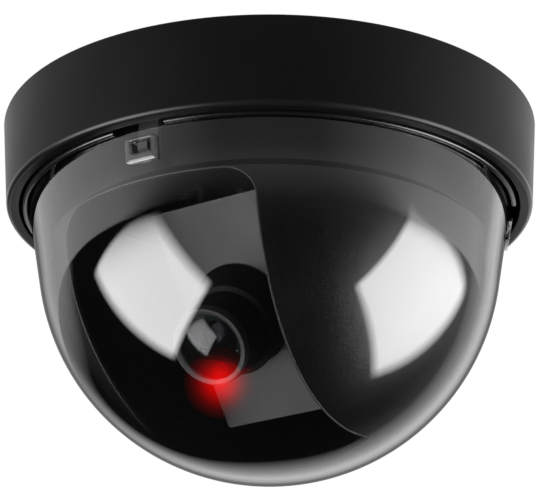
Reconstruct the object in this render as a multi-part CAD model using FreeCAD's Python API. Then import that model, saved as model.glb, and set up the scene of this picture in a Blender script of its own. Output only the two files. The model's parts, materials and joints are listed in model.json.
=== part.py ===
import FreeCAD, Part
import math
import os

# Indoor dome camera for a ceiling. Millimetres, +Z up. The origin is the centre of the ceiling
# face, and everything hangs below it. Azimuth is measured from the front, -Y, towards +X.

# ---- Base housing -------------------------------------------------------------------------
base_radius = 62.5            # at the ceiling
base_height = 20.8
base_draft = 1.2              # the mouth's radius is smaller by this
base_wall = 3.0               # at the mouth
base_floor = 2.5
base_edge_round = 0.8         # lower outer edge
base_top_round = 0.4          # edge against the ceiling

mount_count = 3
mount_circle_radius = 46.0
mount_hole_radius = 2.25
mount_pad_radius = 4.5
mount_pad_height = 1.5

# ---- Cable entry --------------------------------------------------------------------------
entry_bore_radius = 6.0       # through the hub
grommet_bore_radius = 4.0
grommet_length = 4.0
grommet_chamfer = 0.3

# ---- Pan bearing --------------------------------------------------------------------------
hub_radius = 13.0
hub_height = 6.5              # from the floor to the shoulder
journal_wall = 3.0
pan_washer_thickness = 0.5
pan_disc_radius = 38.0
pan_disc_thickness = 2.0
pan_play = 0.1                # axial play of the pan disc
pan_retainer_thickness = 1.5
pan_retainer_screw_count = 3
pan_retainer_screw_reach = 4.5   # into the hub
stop_width = 4.0              # stop post and stop lug, along the circle
stop_overlap = 1.6            # how far the post and the lug pass each other
pan_rest_azimuth = -33.0

# ---- Ring that holds the dome -------------------------------------------------------------
groove_width = 0.8            # dark groove between the housing and the ring
ring_wall = 1.2
ring_proud = 0.5              # below the housing's mouth
ring_lip_round = 0.5
ring_web_thickness = 2.0
ring_post_height = 8.5
ring_post_radius = 2.6
ring_screw_reach = 6.0        # into its post
ring_notch_width = 13.0

# ---- Latches ------------------------------------------------------------------------------
latch_count = 3
latch_azimuth = -30.0
frame_width = 7.9
frame_height = 5.5
frame_proud = 0.9
frame_drop = 2.1              # from the housing's mouth to the frame's top edge
frame_corner_round = 0.36
window_width = 5.2            # hole in the frame
window_height = 2.9
window_drop = 2.6
hook_width = 5.0
hook_thickness = 1.2
hook_tail = 0.8               # arm below the hole
hook_pivot_drop = 0.6         # from the arm's top end to its bending axis
peg_width = 2.4
peg_play = 0.2                # between the peg and the hole's edges
peg_ramp = 0.9
peg_recess = 0.4              # peg's tip inside the skirt's outer face
hook_travel = 2.8             # room for the arm's lower end to bend inwards

# ---- Dome ---------------------------------------------------------------------------------
dome_wall = 1.8
dome_step = 2.4               # the skirt's radius less the dome's
dome_drop = 10.1              # from the housing's mouth to the dome's centre

# ---- Liner with its viewing slot ----------------------------------------------------------
liner_gap = 0.5               # between the dome and the liner
liner_wall = 1.2
liner_shoulder_rise = 0.5     # from the dome's centre up to the shoulder
liner_flange_width = 14.6
liner_flange_lap = 4.0        # of the flange under the pan disc
liner_screw_count = 3
slot_half_width = 25.4
slot_top_rise = 0.3           # from the dome's centre up to the slot's top edge
slot_corner_radius = 6.5
slot_side_radius = 200.0      # the sides curve in towards the pole
slot_past_pole = 8.0

# ---- Tilt yoke ----------------------------------------------------------------------------
tilt_axis_drop = 11.0         # below the dome's centre
tilt_rest_angle = 38.0        # below level
yoke_thickness = 1.5
yoke_half_depth = 6.5
yoke_foot_length = 10.5
yoke_screw_spread = 4.0
yoke_screw_inset = 6.3        # from the arm's inner face
pivot_radius = 2.0
pivot_head_radius = 4.0
pivot_head_height = 2.5
pivot_head_chamfer = 0.4
pivot_slot_width = 1.0
pivot_slot_depth = 1.0
pivot_thread_radius = 1.45
pivot_thread_proud = 0.3      # of the ear's inner face

# ---- Carrier plate, in the lens frame: X across, Y up the plate, Z along the view ----------
plate_half_width = 14.2
plate_top = 28.3
plate_bottom = -24.4
plate_front = 13.0            # from the tilt axis to the plate's front face
plate_thickness = 1.5
plate_corner_round = 0.5

# ---- Camera module ------------------------------------------------------------------------
housing_foot_radius = 10.8    # at the step
housing_foot_flare = 0.8      # wider than that at the plate
housing_foot_rise = 1.8       # of the end at the plate, whose centre is above the lens axis
housing_seat_radius = 10.8    # low round seat that rubs on the plate as the module rolls
housing_seat_height = 0.4
housing_foot_length = 7.5
housing_tube_radius = 9.25
housing_tube_length = 8.7
housing_bore_radius = 8.2     # front bore, for the lamp board and the glass
housing_rear_bore_gap = 0.25  # round the lens holder's neck
housing_spigot_radius = 9.95
housing_spigot_length = 3.0
housing_step_round = 0.4
clip_groove_depth = 0.4
clip_thickness = 0.8
clip_side_gap = 0.55          # between the clip and the plate's ears
clip_opening = 60.0           # degrees

bezel_radius = 8.95
bezel_length = 2.1
bezel_lip = 0.35              # over the glass's edge
bezel_lip_thickness = 0.35
bezel_edge = 0.2

front_glass_curve = 20.0
front_glass_thickness = 1.2
front_glass_edge = 1.2

lamp_board_thickness = 0.8
lamp_board_depth = 2.4        # from the glass seat back to the board
lamp_radius = 1.5
lamp_flange_radius = 1.55
lamp_flange_thickness = 0.7
lamp_offset = 6.55            # from the lens axis
lamp_azimuth = -13.0          # from straight below

lens_thread_radius = 6.0
lens_thread_length = 8.5
lens_head_radius = 6.8
lens_head_length = 4.6
lens_head_notches = 24
lens_notch_radius = 0.35
lens_glass_recess = 0.6       # from the head's front back to the glass's edge
lens_front_bore_depth = 2.76
lens_glass_radius = 4.4
lens_glass_curve = 9.0
lens_rear_glass_radius = 3.4
lens_rear_glass_thickness = 2.0
lens_rear_glass_recess = 0.4
lens_gap = 0.4                # head to lamp board
lock_ring_thickness = 2.0
lock_ring_notches = 4
lock_ring_notch_width = 1.6
lock_ring_notch_depth = 0.6

holder_wall = 0.95
holder_flange_radius = 11.3
holder_flange_thickness = 1.4
holder_length = 7.5
filter_radius = 4.6
filter_thickness = 0.5
filter_ledge = 0.6            # under the filter's edge
sensor_width = 7.2
sensor_height = 6.4
sensor_thickness = 0.9
sensor_rim = 0.9              # round its window
sensor_window_depth = 0.2

board_side_gap = 0.4          # between a round board and the pivot screws' ends
board_thickness = 1.6
board_spacing = 6.4
board_screw_circle = 8.3
board_screw_count = 3
board_screw_reach = 1.8       # into the housing
board_spacer_radius = 1.8
board_link_width = 9.0
board_link_depth = 2.8
board_link_drop = 6.0         # below the lens axis
lead_socket_drop = 7.2

processor_width = 8.0
driver_width = 6.0
small_part_width = 2.0
small_part_length = 3.0
chip_height = 1.2
small_part_height = 1.0

# ---- Main board in the base ---------------------------------------------------------------
main_board_lift = 2.0
main_board_margin = 1.0       # inside the pan disc's rim
main_board_hub_gap = 2.0
main_board_front = -6.0       # straight front edge
main_board_screw_inset = 7.0  # from the board's rim
main_board_screw_spread = 62.0   # degrees
main_board_screw_reach = 1.6  # into its post
controller_width = 9.0
coil_width = 6.4
coil_height = 2.4
regulator_width = 5.0
connector_width = 6.0
capacitor_radius = 2.0
capacitor_height = 2.6
capacitor_foot_width = 4.4
capacitor_foot_height = 0.4

# ---- Wiring sockets -----------------------------------------------------------------------
socket_wall = 0.5
socket_depth = 3.6
socket_height = 2.6
socket_pin_width = 0.4
socket_pin_height = 2.1
socket_pin_pitch = 2.0
socket_screw_gap = 0.7        # from the board screws' heads

# ---- Clearances and small screws ----------------------------------------------------------
running_gap = 0.05            # radial, shafts in their holes
screw_gap = 0.05              # radial, screws in their holes
seat_gap = 0.1                # between pieces that are assembled side by side
moving_gap = 0.3              # between pieces that move past each other
past = 1.0                    # how far a cutter runs past the face that it cuts

small_screw_radius = 0.8
small_head_radius = 1.5
small_head_height = 1.1
plate_screw_radius = 1.2
plate_head_radius = 2.2
plate_head_height = 1.2
head_round_share = 0.4        # of the head's height
recess_width_share = 0.28     # of the head's radius
recess_length_share = 1.2
recess_depth_share = 0.5      # of the head's height
disc_screw_inset = 0.2        # screw ends below the pan disc's top face

# ---- Places worked out from the sizes above ------------------------------------------------
mouth_z = -base_height
floor_z = -base_floor
mouth_inner_radius = base_radius - base_draft - base_wall

hub_z = floor_z - hub_height
disc_top_z = hub_z - pan_washer_thickness
disc_bottom_z = disc_top_z - pan_disc_thickness
journal_z = disc_bottom_z - pan_play
journal_radius = entry_bore_radius + journal_wall
retainer_z = journal_z - pan_retainer_thickness
retainer_screw_circle = entry_bore_radius + journal_wall / 2
disc_screw_tip_z = disc_top_z - disc_screw_inset

web_top_z = floor_z - ring_post_height
web_z = web_top_z - ring_web_thickness
ring_radius = mouth_inner_radius - groove_width
ring_inner_radius = ring_radius - ring_wall
ring_z = mouth_z - ring_proud

skirt_radius = ring_inner_radius - moving_gap
skirt_inner_radius = skirt_radius - dome_wall
skirt_top_z = web_z - moving_gap
dome_radius = skirt_radius - dome_step
dome_z = mouth_z - dome_drop
skirt_lean = (math.acos(dome_radius / math.hypot(skirt_radius, dome_drop))
              - math.atan2(dome_drop, skirt_radius))

ring_screw_circle = skirt_inner_radius - moving_gap - small_head_radius
web_inner_radius = ring_screw_circle - small_head_radius - moving_gap

window_top_z = mouth_z - window_drop
window_bottom_z = window_top_z - window_height
hook_z = window_bottom_z - hook_tail
hook_top_z = web_z - 2 * seat_gap
hook_pivot_z = hook_top_z - hook_pivot_drop


def skirt_outer_at(height):
    """Radius of the leaning skirt's outer face at a height below the mouth."""
    return skirt_radius - (mouth_z - height) * math.tan(skirt_lean)


def skirt_inner_at(height):
    return skirt_outer_at(height) - dome_wall / math.cos(skirt_lean)


hook_radius = skirt_inner_at(hook_z) - moving_gap
hook_inner_radius = hook_radius - hook_thickness
peg_tip_radius = skirt_outer_at(window_top_z) - peg_recess

liner_radius = dome_radius - dome_wall - liner_gap
collar_radius = hook_inner_radius - hook_travel
shoulder_z = dome_z + liner_shoulder_rise
collar_z = shoulder_z + liner_radius - collar_radius
liner_flange_radius = pan_disc_radius - liner_flange_lap
liner_screw_circle = pan_disc_radius - liner_flange_lap / 2
slot_top_z = dome_z + slot_top_rise

tilt_axis_z = dome_z - tilt_axis_drop
yoke_inner = plate_half_width + moving_gap
yoke_outer = yoke_inner + yoke_thickness
yoke_foot_z = disc_bottom_z - yoke_thickness
yoke_screw_x = yoke_inner + yoke_screw_inset

plate_back = plate_front - plate_thickness
ear_inner = plate_half_width - plate_thickness
pivot_thread_end = ear_inner - pivot_thread_proud
clip_radius = ear_inner - clip_side_gap
board_radius = pivot_thread_end - board_side_gap
foot_front = plate_front + housing_foot_length
tube_front = foot_front + housing_tube_length
clip_back = plate_back - moving_gap - clip_thickness
spigot_back = plate_front - housing_spigot_length
bezel_front = tube_front + bezel_length
glass_radius = housing_bore_radius - seat_gap
glass_rise = (math.sqrt(front_glass_curve ** 2 - (glass_radius - bezel_lip) ** 2)
              - math.sqrt(front_glass_curve ** 2 - glass_radius ** 2))
glass_edge_front = bezel_front - bezel_lip_thickness - seat_gap - glass_rise
glass_edge_back = glass_edge_front - front_glass_edge
lamp_board_front = glass_edge_back - lamp_board_depth
lamp_board_back = lamp_board_front - lamp_board_thickness

holder_flange_front = spigot_back
holder_back = holder_flange_front - holder_flange_thickness
sensor_board_back = holder_back - board_thickness
sensor_front = holder_back + sensor_thickness
filter_back = sensor_front + holder_flange_thickness
filter_front = filter_back + filter_thickness
holder_front = holder_flange_front + holder_length
holder_bore_radius = lens_thread_radius + running_gap
holder_neck_radius = lens_thread_radius + holder_wall
housing_rear_bore_radius = holder_neck_radius + housing_rear_bore_gap

lens_head_front = lamp_board_back - lens_gap
lens_head_back = lens_head_front - lens_head_length
lens_front_bore_back = lens_head_front - lens_front_bore_depth
lens_back = lens_head_back - lens_thread_length
lock_ring_back = holder_front + 2 * seat_gap

processor_board_front = sensor_board_back - board_spacing
processor_board_back = processor_board_front - board_thickness

main_board_top_z = floor_z - main_board_lift
main_board_z = main_board_top_z - board_thickness
main_board_radius = pan_disc_radius - main_board_margin
main_board_inner_radius = hub_radius + main_board_hub_gap
main_board_screw_circle = main_board_radius - main_board_screw_inset
socket_circle = (main_board_screw_circle - small_head_radius - socket_screw_gap
                 - socket_depth / 2)

X_AXIS = FreeCAD.Vector(1, 0, 0)
Y_AXIS = FreeCAD.Vector(0, 1, 0)
Z_AXIS = FreeCAD.Vector(0, 0, 1)
ORIGIN = FreeCAD.Vector(0, 0, 0)


# ---- Shape helpers -------------------------------------------------------------------------
def cylinder(radius, low, high, x=0.0, y=0.0):
    return Part.makeCylinder(radius, high - low, FreeCAD.Vector(x, y, low))


def tube(outer, inner, low, high, x=0.0, y=0.0):
    bore = cylinder(inner, low - past, high + past, x, y)
    return cylinder(outer, low, high, x, y).cut(bore)


def block(x_low, x_high, y_low, y_high, z_low, z_high):
    corner = FreeCAD.Vector(x_low, y_low, z_low)
    return Part.makeBox(x_high - x_low, y_high - y_low, z_high - z_low, corner)


def crossbar(radius, x_low, x_high, y=0.0, z=0.0):
    """A cylinder that lies along X."""
    return Part.makeCylinder(radius, x_high - x_low, FreeCAD.Vector(x_low, y, z), X_AXIS)


def line(start, end):
    return Part.LineSegment(start, end).toShape()


def turned(points, arcs=None):
    """Turn a closed outline of (radius, height) points about Z. arcs maps the number of a side
    to the point that its arc passes through."""
    corners = [FreeCAD.Vector(radius, 0, height) for radius, height in points]
    edges = []
    for number, start in enumerate(corners):
        end = corners[(number + 1) % len(corners)]
        if arcs and number in arcs:
            radius, height = arcs[number]
            edges.append(Part.Arc(start, FreeCAD.Vector(radius, 0, height), end).toShape())
        else:
            edges.append(line(start, end))
    return Part.Face(Part.Wire(edges)).revolve(ORIGIN, Z_AXIS, 360)


def azimuth(shape, degrees):
    """Turn a shape that was made at the front round to an azimuth."""
    moved = shape.copy()
    moved.rotate(ORIGIN, Z_AXIS, degrees)
    return moved


def around(shape, count, first=0.0):
    return [azimuth(shape, first + number * 360.0 / count) for number in range(count)]


def mirrored(shape):
    return shape.mirror(ORIGIN, X_AXIS)


def joined(shapes):
    solid = shapes[0]
    for shape in shapes[1:]:
        solid = solid.fuse(shape)
    return solid.removeSplitter()


def without(solid, tools):
    for tool in tools:
        solid = solid.cut(tool)
    return solid


def screw(radius, head_radius, head_height, seat, tip, x=0.0, y=0.0):
    """A pan-head screw along Z. Its head is below the seat, with a cross recess, and its
    shank runs up to the tip."""
    direction = 1 if tip > seat else -1
    head_end = seat - direction * head_height
    low, high = sorted((head_end, seat))
    head = cylinder(head_radius, low, high, x, y)
    outer_edges = [edge for edge in head.Edges if abs(edge.BoundBox.Center.z - head_end) < 1e-6]
    head = head.makeFillet(head_height * head_round_share, outer_edges)
    low, high = sorted((seat, tip))
    body = head.fuse(cylinder(radius, low, high, x, y))
    half_width = head_radius * recess_width_share / 2
    half_length = head_radius * recess_length_share / 2
    recess_end = head_end + direction * head_height * recess_depth_share
    low, high = sorted((head_end, recess_end))
    for half_x, half_y in ((half_length, half_width), (half_width, half_length)):
        body = body.cut(block(x - half_x, x + half_x, y - half_y, y + half_y, low, high))
    return body


def screw_hole(low, high, circle, radius=small_screw_radius):
    """Cutter for a screw's hole at the front of a circle of screws."""
    return cylinder(radius + screw_gap, low, high, 0, -circle)


# ---- Base housing and what is fixed in it --------------------------------------------------
def base_shell():
    outer = turned([(0, 0), (base_radius, 0), (base_radius - base_draft, mouth_z), (0, mouth_z)])
    low_edge = [e for e in outer.Edges if abs(e.BoundBox.ZMax - mouth_z) < 1e-6 and e.Length > 1]
    outer = outer.makeFillet(base_edge_round, low_edge)
    top_edge = [e for e in outer.Edges if abs(e.BoundBox.ZMin) < 1e-6 and e.Length > 1]
    outer = outer.makeFillet(base_top_round, top_edge)
    shell = outer.cut(cylinder(mouth_inner_radius, mouth_z - past, floor_z))
    hub = cylinder(hub_radius, hub_z, floor_z).fuse(cylinder(journal_radius, journal_z, hub_z))
    ring_post = cylinder(ring_post_radius, web_top_z, floor_z, 0, -ring_screw_circle)
    mount_pad = cylinder(mount_pad_radius, floor_z - mount_pad_height, floor_z,
                         0, -mount_circle_radius)
    board_post = cylinder(plate_head_radius, main_board_top_z, floor_z,
                          0, -main_board_screw_circle)
    stop_inner = pan_disc_radius + moving_gap
    stop_outer = stop_inner + 2 * stop_overlap
    stop_low = disc_bottom_z + moving_gap
    stop = block(-stop_width / 2, stop_width / 2, -stop_outer, -stop_inner, stop_low, floor_z)
    raised = [hub]
    raised += around(ring_post, latch_count, latch_azimuth + 180.0 / latch_count)
    raised += around(mount_pad, mount_count, latch_azimuth)
    raised += [azimuth(board_post, angle) for angle in main_board_screw_azimuths()]
    raised.append(azimuth(stop, pan_rest_azimuth + 180))
    return joined([shell] + raised)


def main_board_screw_azimuths():
    return [180 + step * main_board_screw_spread for step in (-1, 0, 1)]


def base_housing():
    holes = [cylinder(entry_bore_radius, journal_z - past, past)]
    mount_hole = cylinder(mount_hole_radius, mouth_z, past, 0, -mount_circle_radius)
    holes += around(mount_hole, mount_count, latch_azimuth)
    ring_hole = screw_hole(web_top_z - past, web_top_z + ring_screw_reach + moving_gap,
                           ring_screw_circle)
    holes += around(ring_hole, latch_count, latch_azimuth + 180.0 / latch_count)
    retainer_hole = screw_hole(journal_z - past, journal_z + pan_retainer_screw_reach + moving_gap,
                               retainer_screw_circle)
    holes += around(retainer_hole, pan_retainer_screw_count)
    board_hole = screw_hole(main_board_top_z - past,
                            main_board_top_z + main_board_screw_reach + moving_gap,
                            main_board_screw_circle)
    holes += [azimuth(board_hole, angle) for angle in main_board_screw_azimuths()]
    return without(base_shell(), holes)


def cable_grommet():
    outer = entry_bore_radius - seat_gap
    body = tube(outer, grommet_bore_radius, -grommet_length - seat_gap, -seat_gap)
    rims = [e for e in body.Edges if abs(e.Length - 2 * math.pi * outer) < 1e-3]
    return body.makeChamfer(grommet_chamfer, rims)


def catch_ring():
    """Ring in the housing's mouth. Its web carries the latch hooks, and its wall surrounds the
    dome's skirt, with a notch at each latch."""
    web = tube(ring_radius + groove_width / 2, web_inner_radius, web_z, web_top_z)
    wall = tube(ring_radius, ring_inner_radius, ring_z, web_top_z)
    lip = [e for e in wall.Edges if abs(e.BoundBox.ZMax - ring_z) < 1e-6 and e.Length > 1]
    wall = wall.makeFillet(ring_lip_round, lip)
    notch = block(-ring_notch_width / 2, ring_notch_width / 2, -base_radius, -skirt_inner_radius,
                  ring_z - past, web_z)
    hole = screw_hole(web_z - past, web_top_z + past, ring_screw_circle)
    cuts = around(notch, latch_count, latch_azimuth)
    cuts += around(hole, latch_count, latch_azimuth + 180.0 / latch_count)
    return without(joined([web, wall]), cuts)


def catch_ring_screws():
    tip = web_top_z + ring_screw_reach
    piece = screw(small_screw_radius, small_head_radius, small_head_height, web_z, tip,
                  0, -ring_screw_circle)
    return Part.makeCompound(around(piece, latch_count, latch_azimuth + 180.0 / latch_count))


def latch_hook():
    """One spring finger at the front: an arm behind the skirt, and a peg with a ramp below it
    that reaches into the skirt's hole."""
    half = hook_width / 2
    arm = block(-half, half, -hook_radius, -hook_inner_radius, hook_z, hook_top_z)
    peg_top = window_top_z - peg_play
    peg_low = window_bottom_z + peg_play
    outline = [(hook_radius - hook_thickness / 2, peg_top), (peg_tip_radius, peg_top),
               (peg_tip_radius, peg_low + peg_ramp), (hook_radius, peg_low),
               (hook_radius - hook_thickness / 2, peg_low)]
    corners = [FreeCAD.Vector(-peg_width / 2, -radius, height) for radius, height in outline]
    peg = Part.Face(Part.makePolygon(corners + corners[:1])).extrude(X_AXIS * peg_width)
    return joined([arm, peg])


def pan_retainer():
    ring = tube(hub_radius - seat_gap, entry_bore_radius, retainer_z, journal_z)
    hole = screw_hole(retainer_z - past, journal_z + past, retainer_screw_circle)
    return without(ring, around(hole, pan_retainer_screw_count))


def pan_retainer_screws():
    tip = journal_z + pan_retainer_screw_reach
    piece = screw(small_screw_radius, small_head_radius - seat_gap, small_head_height,
                  retainer_z, tip, 0, -retainer_screw_circle)
    return Part.makeCompound(around(piece, pan_retainer_screw_count))


def main_board():
    board = tube(main_board_radius, main_board_inner_radius, main_board_z, main_board_top_z)
    board = board.cut(block(-base_radius, base_radius, -base_radius, main_board_front, mouth_z, 0))
    hole = screw_hole(main_board_z - past, main_board_top_z + past, main_board_screw_circle)
    return without(board, [azimuth(hole, angle) for angle in main_board_screw_azimuths()])


def main_board_screws():
    tip = main_board_top_z + main_board_screw_reach
    piece = screw(small_screw_radius, small_head_radius, small_head_height, main_board_z, tip,
                  0, -main_board_screw_circle)
    return Part.makeCompound([azimuth(piece, angle) for angle in main_board_screw_azimuths()])


def across_main_board(share):
    """Radius at a share of the way from the board's inner edge to its rim."""
    return main_board_inner_radius + share * (main_board_radius - main_board_inner_radius)


def main_board_parts():
    """Low parts on the board's lower face."""
    chips = [(205, 0.5, controller_width, controller_width, chip_height),
             (150, 0.64, coil_width, coil_width, coil_height),
             (229, 0.36, regulator_width, small_part_length, small_part_height),
             (166, 0.23, regulator_width, small_part_length, small_part_height),
             (268, 0.41, connector_width, small_part_length, chip_height),
             (132, 0.73, regulator_width, small_part_length, chip_height)]
    parts = []
    for angle, share, width, depth, height in chips:
        radius = across_main_board(share)
        piece = block(-width / 2, width / 2, -radius - depth / 2, -radius + depth / 2,
                      main_board_z - height, main_board_z)
        parts.append(azimuth(piece, angle))
    half = capacitor_foot_width / 2
    foot_z = main_board_z - capacitor_foot_height
    for angle, share in ((188, 0.82), (222, 0.82), (172, 0.68)):
        radius = across_main_board(share)
        foot = block(-half, half, -radius - half, -radius + half, foot_z, main_board_z)
        can = cylinder(capacitor_radius, main_board_z - capacitor_height, foot_z, 0, -radius)
        parts.append(azimuth(foot.fuse(can), angle))
    return Part.makeCompound(parts)


def socket(pins):
    """An open wiring socket that stands up from Z = 0, with a row of pins inside."""
    half_width = (pins * socket_pin_pitch + 2 * socket_wall) / 2
    half_depth = socket_depth / 2
    half_pin = socket_pin_width / 2
    body = block(-half_width, half_width, -half_depth, half_depth, 0, socket_height)
    body = body.cut(block(-half_width + socket_wall, half_width - socket_wall,
                          -half_depth + socket_wall, half_depth - socket_wall,
                          socket_wall, socket_height))
    for number in range(pins):
        x = (number - (pins - 1) / 2) * socket_pin_pitch
        body = body.fuse(block(x - half_pin, x + half_pin, -half_pin, half_pin,
                               socket_wall / 2, socket_pin_height))
    return body.removeSplitter()


def hanging_socket(pins, y, face):
    piece = socket(pins)
    piece.rotate(ORIGIN, X_AXIS, 180)
    piece.translate(FreeCAD.Vector(0, y, face))
    return piece


def wiring_sockets():
    """Sockets on the main board: the incoming lead's and the camera lead's."""
    sockets = [azimuth(hanging_socket(pins, -socket_circle, main_board_z), angle)
               for angle, pins in ((106, 4), (249, 3))]
    return Part.makeCompound(sockets)


# ---- Dome ------------------------------------------------------------------------------------
def dome_body(offset, top):
    """Solid inside the dome's outer face, moved outwards by an offset."""
    radius = dome_radius + offset
    rim = skirt_radius + offset
    rim_z = mouth_z - offset * math.tan(skirt_lean / 2)
    tangent = (radius * math.cos(skirt_lean), dome_z - radius * math.sin(skirt_lean))
    halfway = (math.pi / 2 + skirt_lean) / 2
    middle = (radius * math.cos(halfway), dome_z - radius * math.sin(halfway))
    outline = [(0, top), (rim, top), (rim, rim_z), tangent, (0, dome_z - radius)]
    return turned(outline, {3: middle})


def dome_cover():
    shell = dome_body(0, skirt_top_z).cut(dome_body(-dome_wall, skirt_top_z + past))
    frame_top = mouth_z - frame_drop
    frame = block(-frame_width / 2, frame_width / 2, -base_radius, 0,
                  frame_top - frame_height, frame_top)
    frame = frame.common(dome_body(frame_proud, 0)).cut(dome_body(-dome_wall, 0))
    corners = [e for e in frame.Edges if abs(abs(e.BoundBox.Center.x) - frame_width / 2) < 1e-3
               and e.BoundBox.Center.y < -skirt_outer_at(frame_top - frame_height / 2) - frame_proud / 2]
    frame = frame.makeFillet(frame_corner_round, corners)
    opening = block(-window_width / 2, window_width / 2, -base_radius, 0,
                    window_bottom_z, window_top_z)
    shell = joined([shell] + around(frame, latch_count, latch_azimuth))
    return without(shell, around(opening, latch_count, latch_azimuth))


# ---- Pan group, made facing the front and then turned to its rest azimuth ---------------------
def pan_disc():
    disc = cylinder(pan_disc_radius, disc_bottom_z, disc_top_z)
    lug = block(-stop_width / 2, stop_width / 2, -pan_disc_radius - stop_overlap,
                -pan_disc_radius + past, disc_bottom_z, disc_top_z)
    lug = lug.common(cylinder(pan_disc_radius + stop_overlap, disc_bottom_z, disc_top_z))
    holes = [cylinder(journal_radius + running_gap, disc_bottom_z - past, 0)]
    holes += around(screw_hole(disc_bottom_z - past, 0, liner_screw_circle), liner_screw_count, 180)
    for x in (-yoke_screw_x, yoke_screw_x):
        for y in (-yoke_screw_spread, yoke_screw_spread):
            holes.append(cylinder(plate_screw_radius + screw_gap, disc_bottom_z - past, 0, x, y))
    return without(joined([disc, lug]), holes)


def liner_body(offset, top):
    """Solid inside the liner's outer face, moved outwards by an offset."""
    radius = liner_radius + offset
    collar = collar_radius + offset
    drop = offset * math.tan(math.pi / 8)
    middle = (radius * math.cos(math.pi / 4), dome_z - radius * math.sin(math.pi / 4))
    outline = [(0, top), (collar, top), (collar, collar_z + drop), (radius, shoulder_z + drop),
               (radius, dome_z), (0, dome_z - radius)]
    return turned(outline, {4: middle})


def slot_cutter():
    """Viewing slot: an arch with rounded top corners, from the equator to past the pole."""
    side_top = slot_top_z - slot_corner_radius
    low = dome_z - dome_radius
    centre = slot_half_width - slot_side_radius

    def side_at(height):
        depth = side_top - height
        return centre + math.sqrt(slot_side_radius ** 2 - depth ** 2)

    halfway = (side_top + low) / 2
    corner = slot_corner_radius * (1 - math.sqrt(0.5))

    def point(x, height):
        return FreeCAD.Vector(x, slot_past_pole, height)

    edges = []
    for sign in (1, -1):
        edges.append(Part.Arc(point(sign * side_at(low), low), point(sign * side_at(halfway), halfway),
                              point(sign * slot_half_width, side_top)).toShape())
        edges.append(Part.Arc(point(sign * slot_half_width, side_top),
                              point(sign * (slot_half_width - corner), slot_top_z - corner),
                              point(sign * (slot_half_width - slot_corner_radius), slot_top_z)).toShape())
    flat = slot_half_width - slot_corner_radius
    edges.append(line(point(-flat, slot_top_z), point(flat, slot_top_z)))
    edges.append(line(point(-side_at(low), low), point(side_at(low), low)))
    outline = Part.Wire(Part.__sortEdges__(edges))
    return Part.Face(outline).extrude(FreeCAD.Vector(0, -slot_past_pole - base_radius, 0))


def liner():
    shell = liner_body(0, disc_bottom_z).cut(liner_body(-liner_wall, disc_bottom_z - liner_wall))
    cuts = [cylinder(liner_flange_radius, mouth_z, 0), slot_cutter()]
    cuts += around(screw_hole(mouth_z, 0, liner_screw_circle), liner_screw_count, 180)
    return without(shell, cuts)


def liner_screws():
    seat = disc_bottom_z - liner_wall
    piece = screw(small_screw_radius, small_head_radius, small_head_height, seat,
                  disc_screw_tip_z, 0, -liner_screw_circle)
    return Part.makeCompound(around(piece, liner_screw_count, 180))


def yoke_arm():
    """Bent bracket on the +X side: a foot under the pan disc and an upright to the tilt axis."""
    outline = [(-yoke_half_depth, disc_bottom_z), (-yoke_half_depth, tilt_axis_z),
               (yoke_half_depth, tilt_axis_z), (yoke_half_depth, disc_bottom_z)]
    corners = [FreeCAD.Vector(yoke_inner, y, z) for y, z in outline]
    bottom = FreeCAD.Vector(yoke_inner, 0, tilt_axis_z - yoke_half_depth)
    edges = [line(corners[0], corners[1]), Part.Arc(corners[1], bottom, corners[2]).toShape(),
             line(corners[2], corners[3]), line(corners[3], corners[0])]
    upright = Part.Face(Part.Wire(edges)).extrude(X_AXIS * yoke_thickness)
    foot = block(yoke_inner, yoke_inner + yoke_foot_length, -yoke_half_depth, yoke_half_depth,
                 yoke_foot_z, disc_bottom_z)
    arm = joined([upright, foot])
    bend = [e for e in arm.Edges if abs(e.BoundBox.Center.x - yoke_inner) < 1e-6
            and abs(e.BoundBox.Center.z - disc_bottom_z) < 1e-6]
    arm = arm.makeFillet(yoke_thickness, bend)
    holes = [crossbar(pivot_radius + running_gap, 0, base_radius, 0, tilt_axis_z)]
    for y in (-yoke_screw_spread, yoke_screw_spread):
        holes.append(cylinder(plate_screw_radius + screw_gap, mouth_z, 0, yoke_screw_x, y))
    return without(arm, holes)


def yoke_screws():
    pieces = []
    for x in (-yoke_screw_x, yoke_screw_x):
        for y in (-yoke_screw_spread, yoke_screw_spread):
            pieces.append(screw(plate_screw_radius, plate_head_radius, plate_head_height,
                                yoke_foot_z, disc_screw_tip_z, x, y))
    return Part.makeCompound(pieces)


# ---- Tilt group, in the lens frame -------------------------------------------------------------
def carrier_plate():
    """Flat front plate with two ears bent back to the tilt axis."""
    plate = block(-plate_half_width, plate_half_width, plate_bottom, plate_top,
                  plate_back, plate_front)
    corners = [e for e in plate.Edges if abs(e.BoundBox.ZLength - plate_thickness) < 1e-6]
    plate = plate.makeFillet(plate_corner_round, corners)
    ear = block(ear_inner, plate_half_width, -yoke_half_depth, yoke_half_depth, 0, plate_front)
    ear = ear.fuse(crossbar(yoke_half_depth, ear_inner, plate_half_width))
    body = joined([plate, ear, mirrored(ear)])
    hole = crossbar(pivot_thread_radius + screw_gap, -base_radius, base_radius)
    bore = cylinder(housing_spigot_radius + running_gap, plate_back - past, plate_front + past)
    return without(body, [hole, bore])


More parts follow.
